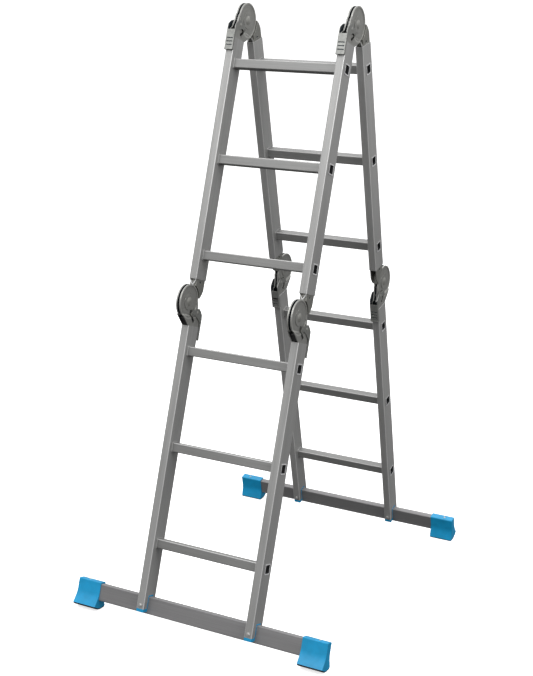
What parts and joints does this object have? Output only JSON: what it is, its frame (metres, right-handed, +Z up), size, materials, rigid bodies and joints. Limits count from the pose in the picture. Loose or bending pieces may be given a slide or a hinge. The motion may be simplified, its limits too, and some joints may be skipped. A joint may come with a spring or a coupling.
{
  "type": "multi position ladder",
  "caption": "Folding aluminium ladder of hinged sections, standing as a stepladder on two cross bars with blue end feet.",
  "frame": {"origin": "on the floor, midway between the front and back feet and midway across the ladder", "axes": "+Z up, +X along the rungs, the front half stands at -Y and carries the top hinge levers"},
  "size_m": [0.808, 1.1048, 1.7448],
  "materials": {
    "stile_aluminium": "mill-finish extruded aluminium, fine lengthwise lines",
    "rung_aluminium": "mill-finish drawn aluminium tube",
    "bar_aluminium": "mill-finish extruded aluminium",
    "plate_steel": "pressed steel, dull zinc plating",
    "tang_steel": "pressed steel, dull zinc plating",
    "lever_steel": "pressed steel, dull zinc plating",
    "pin_steel": "turned steel",
    "rivet_steel": "domed steel rivets",
    "spring_steel": "bright spring wire",
    "black_plastic": "matt black moulded plastic",
    "blue_plastic": "blue moulded plastic, fine satin grain",
    "sole_rubber": "black non-slip rubber",
    "bolt_steel": "zinc-plated steel"
  },
  "bodies": {
    "front_upper": {"front_upper_left_stile": "stile_aluminium", "front_upper_right_stile": "stile_aluminium", "front_upper_rung_1": "rung_aluminium", "front_upper_rung_2": "rung_aluminium", "front_upper_rung_3": "rung_aluminium", "top_left_plates": "plate_steel", "top_right_plates": "plate_steel", "top_hinge_rivets": "rivet_steel", "top_hinge_spacers": "black_plastic", "top_hinge_springs": "spring_steel", "front_mid_hinge_tangs": "tang_steel"},
    "back_upper": {"back_upper_left_stile": "stile_aluminium", "back_upper_right_stile": "stile_aluminium", "back_upper_rung_1": "rung_aluminium", "back_upper_rung_2": "rung_aluminium", "back_upper_rung_3": "rung_aluminium", "top_hinge_tangs": "tang_steel", "back_mid_hinge_tangs": "tang_steel"},
    "front_lower": {"front_lower_left_stile": "stile_aluminium", "front_lower_right_stile": "stile_aluminium", "front_lower_rung_1": "rung_aluminium", "front_lower_rung_2": "rung_aluminium", "front_lower_rung_3": "rung_aluminium", "front_mid_left_plates": "plate_steel", "front_mid_right_plates": "plate_steel", "front_mid_hinge_rivets": "rivet_steel", "front_mid_hinge_spacers": "black_plastic", "front_mid_hinge_springs": "spring_steel", "front_bar": "bar_aluminium", "front_shoes": "blue_plastic", "front_feet": "blue_plastic", "front_soles": "sole_rubber", "front_bolts": "bolt_steel"},
    "back_lower": {"back_lower_left_stile": "stile_aluminium", "back_lower_right_stile": "stile_aluminium", "back_lower_rung_1": "rung_aluminium", "back_lower_rung_2": "rung_aluminium", "back_lower_rung_3": "rung_aluminium", "back_mid_left_plates": "plate_steel", "back_mid_right_plates": "plate_steel", "back_mid_hinge_rivets": "rivet_steel", "back_mid_hinge_spacers": "black_plastic", "back_mid_hinge_springs": "spring_steel", "back_bar": "bar_aluminium", "back_shoes": "blue_plastic", "back_feet": "blue_plastic", "back_soles": "sole_rubber", "back_bolts": "bolt_steel"},
    "top_left_lever": {"top_left_lever": "lever_steel", "top_left_lock_pin": "pin_steel"},
    "top_right_lever": {"top_right_lever": "lever_steel", "top_right_lock_pin": "pin_steel"},
    "front_mid_left_lever": {"front_mid_left_lever": "lever_steel", "front_mid_left_lock_pin": "pin_steel"},
    "front_mid_right_lever": {"front_mid_right_lever": "lever_steel", "front_mid_right_lock_pin": "pin_steel"},
    "back_mid_left_lever": {"back_mid_left_lever": "lever_steel", "back_mid_left_lock_pin": "pin_steel"},
    "back_mid_right_lever": {"back_mid_right_lever": "lever_steel", "back_mid_right_lock_pin": "pin_steel"}
  },
  "joints": [
    {"name": "top_hinge", "type": "hinge", "parent": "front_upper", "child": "back_upper", "pos_m": [0, 0, 1.69478], "axis": [1, 0, 0], "range_deg": [-32.2, 147.8]},
    {"name": "front_mid_hinge", "type": "hinge", "parent": "front_upper", "child": "front_lower", "pos_m": [0, -0.30981, 0.90991], "axis": [1, 0, 0], "range_deg": [-180, 0]},
    {"name": "back_mid_hinge", "type": "hinge", "parent": "back_upper", "child": "back_lower", "pos_m": [0, 0.30981, 0.90991], "axis": [1, 0, 0], "range_deg": [0, 180]},
    {"name": "top_left_lever_hinge", "type": "hinge", "parent": "front_upper", "child": "top_left_lever", "pos_m": [-0.175, -0.05388, 1.68119], "axis": [-1, 0, 0], "range_deg": [0, 15], "stiffness_Nm_per_rad": 0.6, "springref_deg": -11.46},
    {"name": "top_right_lever_hinge", "type": "hinge", "parent": "front_upper", "child": "top_right_lever", "pos_m": [0.175, -0.05388, 1.68119], "axis": [-1, 0, 0], "range_deg": [0, 15], "stiffness_Nm_per_rad": 0.6, "springref_deg": -11.46},
    {"name": "front_mid_left_lever_hinge", "type": "hinge", "parent": "front_lower", "child": "front_mid_left_lever", "pos_m": [-0.175, -0.27145, 0.86969], "axis": [1, 0, 0], "range_deg": [0, 15], "stiffness_Nm_per_rad": 0.6, "springref_deg": -11.46},
    {"name": "front_mid_right_lever_hinge", "type": "hinge", "parent": "front_lower", "child": "front_mid_right_lever", "pos_m": [0.175, -0.27145, 0.86969], "axis": [1, 0, 0], "range_deg": [0, 15], "stiffness_Nm_per_rad": 0.6, "springref_deg": -11.46},
    {"name": "back_mid_left_lever_hinge", "type": "hinge", "parent": "back_lower", "child": "back_mid_left_lever", "pos_m": [-0.175, 0.27145, 0.86969], "axis": [-1, 0, 0], "range_deg": [0, 15], "stiffness_Nm_per_rad": 0.6, "springref_deg": -11.46},
    {"name": "back_mid_right_lever_hinge", "type": "hinge", "parent": "back_lower", "child": "back_mid_right_lever", "pos_m": [0.175, 0.27145, 0.86969], "axis": [-1, 0, 0], "range_deg": [0, 15], "stiffness_Nm_per_rad": 0.6, "springref_deg": -11.46}
  ]
}
